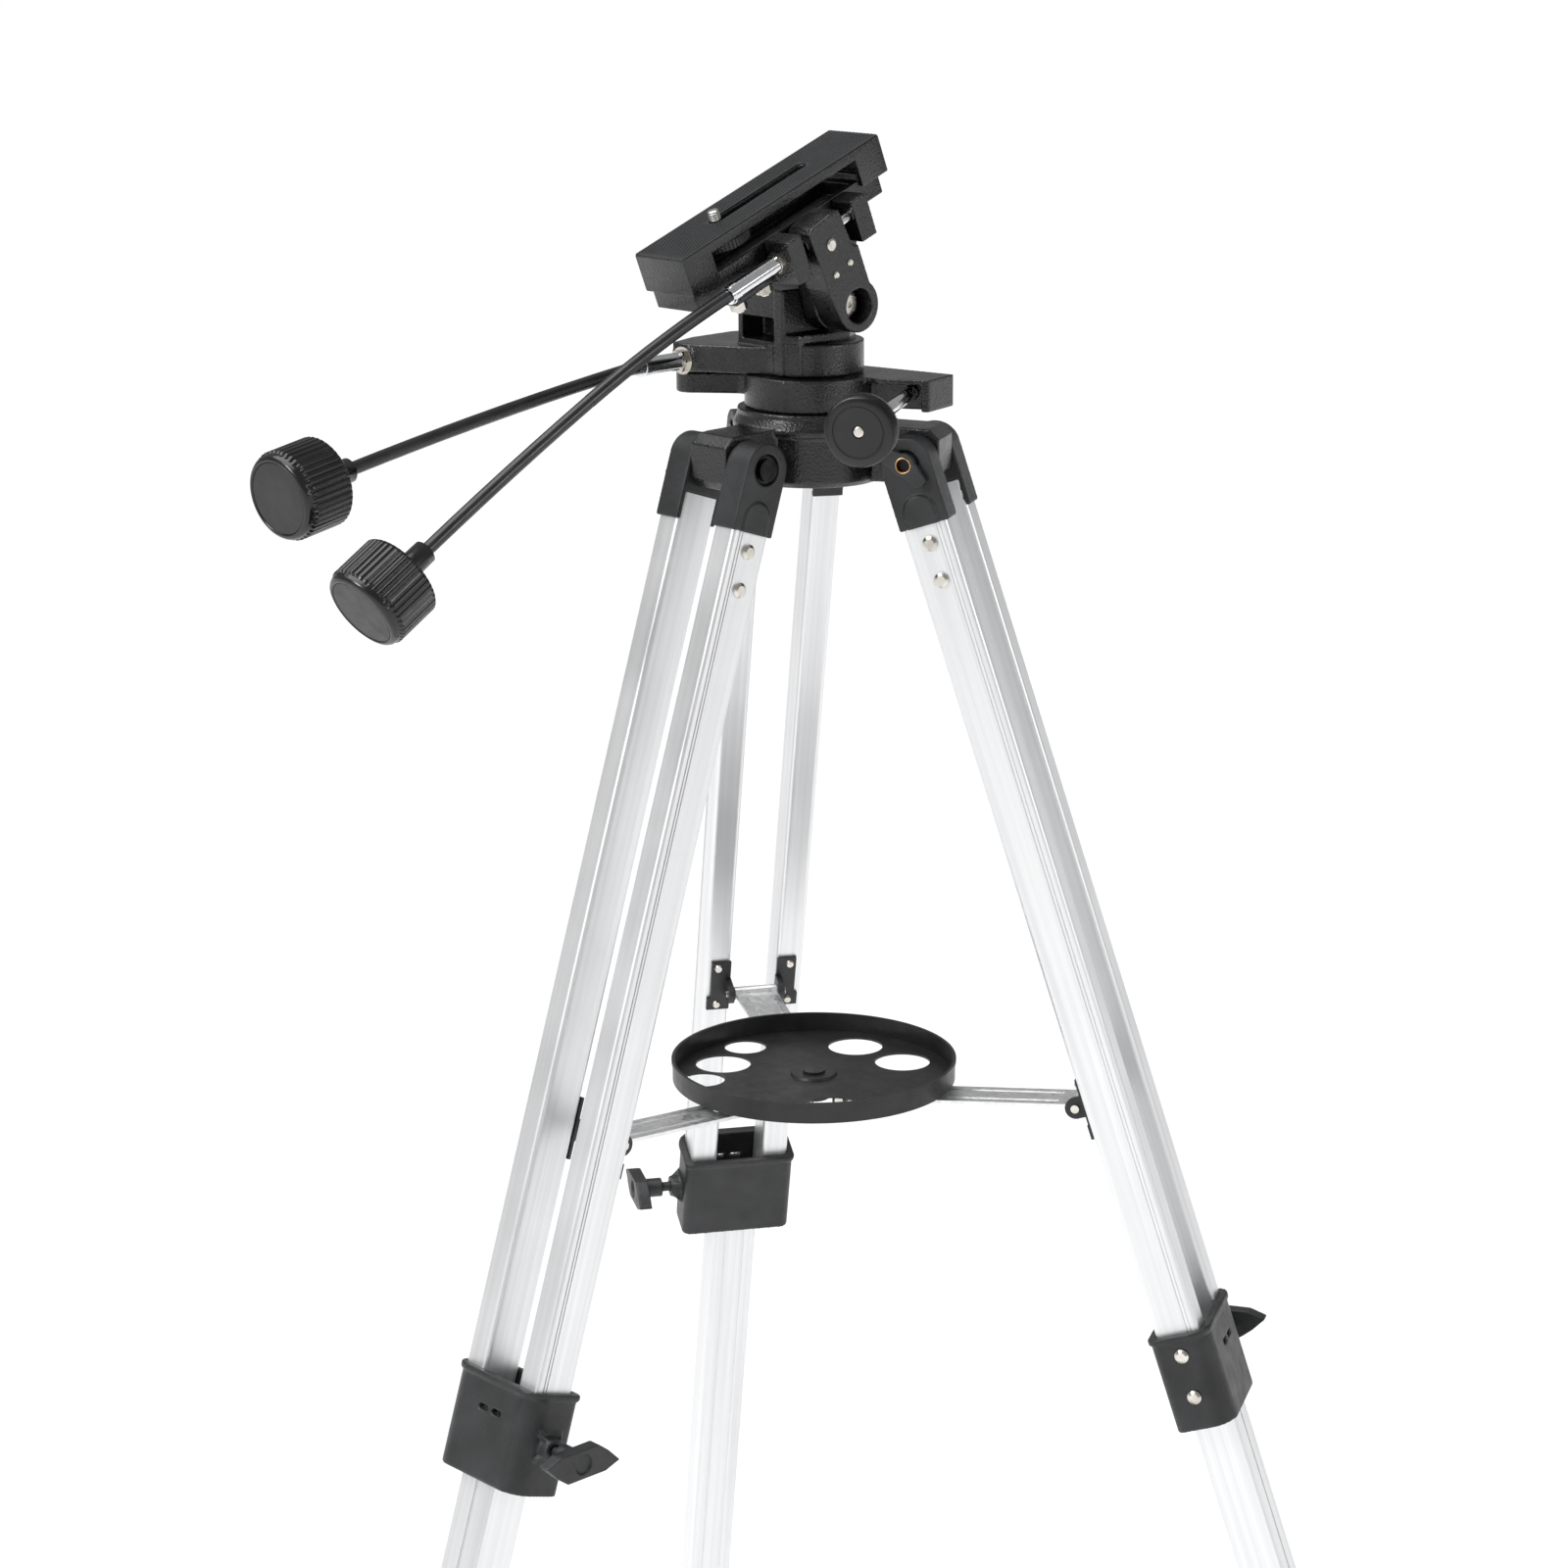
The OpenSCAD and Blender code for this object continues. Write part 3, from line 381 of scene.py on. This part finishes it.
def joined_copy(node):
    """A copy of a node's mesh with its faces joined and flat areas made one face each."""
    bm = bmesh.new()
    bm.from_mesh(NODES[node].data)
    bmesh.ops.remove_doubles(bm, verts=bm.verts, dist=WELD_DISTANCE)
    bmesh.ops.dissolve_limit(bm, angle_limit=math.radians(0.6), verts=bm.verts, edges=bm.edges,
                             delimit={"NORMAL"})
    return bm


FACES_KEPT = 0.4                     # share of a remesh's faces that the decimation leaves


def soft_cast(node, voxel, rounds):
    """A casting or moulding with the small radii that real edges have."""
    bm = bmesh.new()
    bm.from_mesh(NODES[node].data)
    bmesh.ops.remove_doubles(bm, verts=bm.verts, dist=WELD_DISTANCE)
    obj = new_object(node + "_body", bm, [material_of(node)])
    add_modifier(obj, "REMESH", mode="VOXEL", voxel_size=voxel, use_smooth_shade=True)
    add_modifier(obj, "SMOOTH", iterations=rounds, factor=0.5)
    add_modifier(obj, "DECIMATE", ratio=FACES_KEPT)
    add_modifier(obj, "WEIGHTED_NORMAL", keep_sharp=False)
    bake_modifiers(obj)
    stand_for(obj, node)


def bevelled(node, width):
    """A copy of a node with a small radius on its sharp edges."""
    obj = new_object(node + "_body", joined_copy(node), [material_of(node)])
    add_modifier(obj, "BEVEL", width=width, segments=2, limit_method="ANGLE",
                 angle_limit=math.radians(35), harden_normals=True)
    bake_modifiers(obj)
    stand_for(obj, node)


def bake_modifiers(obj):
    graph = bpy.context.evaluated_depsgraph_get()
    mesh = bpy.data.meshes.new_from_object(obj.evaluated_get(graph), depsgraph=graph)
    obj.modifiers.clear()
    old = obj.data
    obj.data = mesh
    bpy.data.meshes.remove(old)


def joint_frame(joint):
    """Matrix with its origin at a joint and its +Z along the joint's axis."""
    axis = Vector(JOINTS[joint]["axis"]).normalized()
    turn = axis.to_track_quat("Z", "Y").to_matrix().to_4x4()
    return Matrix.Translation(JOINTS[joint]["pos_m"]) @ turn


def revolved(bm, rows, segments, place, radius_at=None, mat=0):
    """A turned form. rows are (height, radius, rib depth) from one end to the other, in mm."""
    rings = []
    for height, radius, rib in rows:
        if radius <= 0:
            rings.append([bm.verts.new(place @ Vector((0, 0, height * MM)))])
            continue
        ring = []
        for i in range(segments):
            r = radius + (rib * radius_at(i / segments) if rib and radius_at else 0)
            a = 2 * math.pi * i / segments
            ring.append(bm.verts.new(place @ (Vector((r * math.cos(a), r * math.sin(a), height)) * MM)))
        rings.append(ring)
    for low, high in zip(rings, rings[1:]):
        for i in range(segments):
            j = (i + 1) % segments
            if len(low) == 1:
                face = bm.faces.new((low[0], high[j], high[i]))
            elif len(high) == 1:
                face = bm.faces.new((low[i], low[j], high[0]))
            else:
                face = bm.faces.new((low[i], low[j], high[j], high[i]))
            face.material_index = mat


def rib_wave(count, sharp):
    """Raised ribs with narrow grooves between them, from 0 to 1 and back, count times around."""
    def wave(turn):
        x = math.cos(2 * math.pi * turn * count)
        return min(1.0, max(0.0, 0.5 + sharp * (x + 0.35)))
    return wave


# ---------- slow-motion knobs, lock knob ----------

KNOB_RIBS = 44


def slow_motion_knob(node, joint):
    """Ribbed knob with a satin cap let into its end."""
    lo, mid, hi = 18.0, 20.0, 49.0            # along the cable's axis, as the CAD knob lies
    r = KNOB_R
    bm = bmesh.new()
    rows = [(0.3, 0, 0), (0.3, 5.6, 0), (1.0, 6.4, 0), (12.0, 6.6, 0), (14.5, 7.4, 0), (16.4, 10.5, 0),
            (lo - 0.8, 16.0, 0), (lo, 20.5, 0), (lo + 0.8, r - 1.4, 0.2), (mid, r - 1.0, 1.0),
            (mid + 1.4, r - 1.0, 1.0), (hi - 6.4, r - 1.0, 1.0), (hi - 5.0, r - 1.0, 1.0),
            (hi - 4.2, r - 1.3, 0.3), (hi - 3.9, r - 1.1, 0), (hi - 2.0, r - 1.3, 0),
            (hi - 0.7, r - 2.2, 0), (hi, r - 3.6, 0), (hi - 0.1, r - 4.3, 0), (hi - 0.7, r - 4.6, 0)]
    place = joint_frame(joint)
    revolved(bm, rows, KNOB_RIBS * 8, place, rib_wave(KNOB_RIBS, 1.6))
    revolved(bm, [(hi - 0.7, r - 4.6, 0), (hi - 0.35, r - 4.9, 0), (hi - 0.3, r - 5.4, 0), (hi - 0.25, 9, 0),
                  (hi - 0.25, 0, 0)], KNOB_RIBS * 2, place, mat=1)
    obj = new_object(node + "_body", bm, [MATERIALS["gloss_knob"], MATERIALS["knob_cap"]])
    stand_for(obj, node)


LOCK_KNURLS = 96


def lock_knob():
    """Knurled disc with a grooved flat face; the end of the lock screw shows in its middle."""
    base, back, face = 79.5, 84.6, 96.4       # along the lock screw, from the arm outward
    r = LOCK_KNOB_R
    bm = bmesh.new()
    rows = [(base, 3.8, 0), (base, 7.4, 0), (base + 0.6, 8, 0), (back - 0.5, 8, 0), (back, 8.6, 0),
            (back, r - 1.8, 0), (back + 0.3, r - 1.1, 0), (back + 0.8, r - 0.7, 0.7),
            (face - 0.9, r - 0.7, 0.7), (face - 0.4, r - 0.7, 0.3), (face, r - 1.2, 0),
            (face - 0.05, 14.2, 0), (face - 0.45, 14.0, 0), (face - 0.45, 13.4, 0),
            (face - 0.05, 13.2, 0), (face - 0.05, 3.4, 0), (face - 1.2, 3.2, 0)]
    place = joint_frame("azimuth_lock_turn")
    revolved(bm, rows, LOCK_KNURLS * 6, place, rib_wave(LOCK_KNURLS, 1.0))
    tip = [(face - 1.2, 3.2, 0), (face - 0.5, 3.0, 0), (face - 0.1, 2.6, 0), (face, 2.0, 0), (face, 0, 0)]
    revolved(bm, tip, LOCK_KNURLS, place, mat=1)
    obj = new_object("azimuth_lock_knob_body", bm, [MATERIALS["gloss_knob"], MATERIALS["nickel_steel"]])
    add_modifier(obj, "EDGE_SPLIT", split_angle=math.radians(40))
    stand_for(obj, "azimuth_lock_knob")


# ---------- saddle: dotted pad and camera screw ----------

SADDLE = (Matrix.Translation((0, 0, HINGE_Z + ALTITUDE_Z))
          @ Matrix.Rotation(math.radians(SADDLE_TILT), 4, "X"))
DOT_PITCH = 1.65
DOT_HIGH = 0.5
DOT_REACH_X = 18.0                   # how far the grid of studs runs to each side of the pad's middle
DOT_REACH_Y = 75.0
DOT_CLEAR = 0.8                      # bare rubber round the slot
STUD_FOOT_HALF = 0.62
STUD_TOP_HALF = 0.34


def dotted_pad():
    """Rubber pad whose top is a staggered grid of small blunt studs."""
    bm = joined_copy("saddle_pad")
    to_local = SADDLE.inverted()
    for vert in bm.verts:
        local = to_local @ vert.co
        if local.z > (SADDLE_TOP - 0.3) * MM:
            local.z -= DOT_HIGH * MM
            vert.co = SADDLE @ local
    step_x = DOT_PITCH * 0.866
    half_x, half_y = int(DOT_REACH_X / step_x), int(DOT_REACH_Y / DOT_PITCH)
    for i in range(-half_x, half_x + 1):
        for j in range(-half_y, half_y + 1):
            x, y = i * step_x, SADDLE_MID + (j + 0.5 * (i % 2)) * DOT_PITCH
            beside_slot = abs(x) > SLOT_HALF + DOT_CLEAR
            beyond_slot = (y < SLOT_START - SLOT_HALF - DOT_CLEAR
                           or y > SLOT_END + SLOT_HALF + DOT_CLEAR)
            if abs(y - SADDLE_MID) < DOT_REACH_Y + 0.2 and (beside_slot or beyond_slot):
                stud(bm, x, y)
    # the studs (material index 1) take the lighter rubber, a painted highlight against the pad
    obj = new_object("saddle_pad_body", bm, [MATERIALS["rubber_pad"], MATERIALS["rubber_stud_painted_highlight"]], smooth=False)
    stand_for(obj, "saddle_pad")


def stud(bm, x, y):
    """One blunt four-sided stud of the pad."""
    top, low = SADDLE_TOP, SADDLE_TOP - DOT_HIGH - 0.05
    rings = []
    for z, half in ((low, STUD_FOOT_HALF), (top, STUD_TOP_HALF)):
        rings.append([bm.verts.new(SADDLE @ (Vector((x + half * dx, y + half * dy, z)) * MM))
                      for dx, dy in ((-1, 0), (0, -1), (1, 0), (0, 1))])
    bm.faces.new(rings[1]).material_index = 1
    for i in range(4):
        j = (i + 1) % 4
        bm.faces.new((rings[0][i], rings[0][j], rings[1][j], rings[1][i])).material_index = 1


WHEEL_RIBS = 44
CREST_R = 3.15
ROOT_R = 2.6
CREST_PITCH = 0.9


def camera_screw():
    """Ribbed black thumbwheel with a threaded steel screw that stands out of the pad."""
    place = SADDLE @ Matrix.Translation((0, SLOT_START * MM, 0))
    wheel = [(57.0, 0, 0), (57.0, 12.5, 0), (57.4, 14.2, 0), (58.0, 14.8, 0.7), (62.6, 14.8, 0.7),
             (63.2, 14.2, 0), (63.6, 12.5, 0), (63.6, 0, 0)]
    bm = bmesh.new()
    revolved(bm, wheel, WHEEL_RIBS * 8, place, rib_wave(WHEEL_RIBS, 1.2))
    thread = [(63.0, 2.9, 0), (71.5, 2.9, 0)]
    height = 71.6
    while height < 76.0:
        thread += [(height, CREST_R, 0), (height + CREST_PITCH / 2, ROOT_R, 0)]
        height += CREST_PITCH
    thread += [(76.3, 3.0, 0), (76.75, 2.3, 0), (76.75, 0, 0)]
    revolved(bm, thread, 48, place, mat=1)
    obj = new_object("camera_screw_body", bm, [MATERIALS["black_plastic"], MATERIALS["camera_screw_steel"]])
    add_modifier(obj, "EDGE_SPLIT", split_angle=math.radians(40))
    stand_for(obj, "camera_screw")


# ---------- threaded inserts of the wing nuts ----------


def wing_nut_insert(key):
    """Brass insert that shows in the wing nut's bore."""
    place = (Matrix.Rotation(math.radians(LEGS[key]), 4, "Z") @ Matrix.Translation((HINGE_R, 0, HINGE_Z))
             @ Matrix.Rotation(math.pi / 2, 4, "X"))
    low, high = HINGE_CAP_OUT + 2.5, HINGE_CAP_OUT + 5.1
    rows = [(low, BOLT_R, 0), (high, BOLT_R + 0.7, 0), (high, BOLT_R - 0.1, 0)]
    for i in range(5):
        rows += [(high - 0.25 - 0.5 * i, BOLT_R - 0.55, 0), (high - 0.5 - 0.5 * i, BOLT_R - 0.15, 0)]
    rows += [(low, BOLT_R - 0.3, 0), (low, BOLT_R, 0)]
    bm = bmesh.new()
    revolved(bm, rows, 48, place)
    bmesh.ops.remove_doubles(bm, verts=bm.verts, dist=1e-7)
    bmesh.ops.recalc_face_normals(bm, faces=bm.faces)
    obj = new_object("wing_nut_insert_" + key, bm, [MATERIALS["brass"]])
    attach(obj, NODES["wing_nut_" + key]["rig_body"])


# ---------- putting it together ----------

make_camera()
make_stage()
make_light()

for node_name, node_object in NODES.items():
    dress(node_object, material_of(node_name))

for node_name in ("base_casting", "clamp_ring", "turret", "altitude_arm", "carriage"):
    soft_cast(node_name, 0.0007, 3)
for key in LEGS:
    soft_cast("clamp_" + key, 0.0008, 3)
    soft_cast("hinge_caps_" + key, 0.0007, 3)
    soft_cast("clamp_screw_" + key, 0.0006, 4)
    soft_cast("wing_nut_" + key, 0.0005, 4)
for node_name in ("saddle_shell", "saddle_bed"):
    bevelled(node_name, 0.0007)

slow_motion_knob("azimuth_knob", "azimuth_knob_turn")
slow_motion_knob("altitude_knob", "altitude_knob_turn")
lock_knob()
dotted_pad()
camera_screw()
for key in LEGS:
    wing_nut_insert(key)
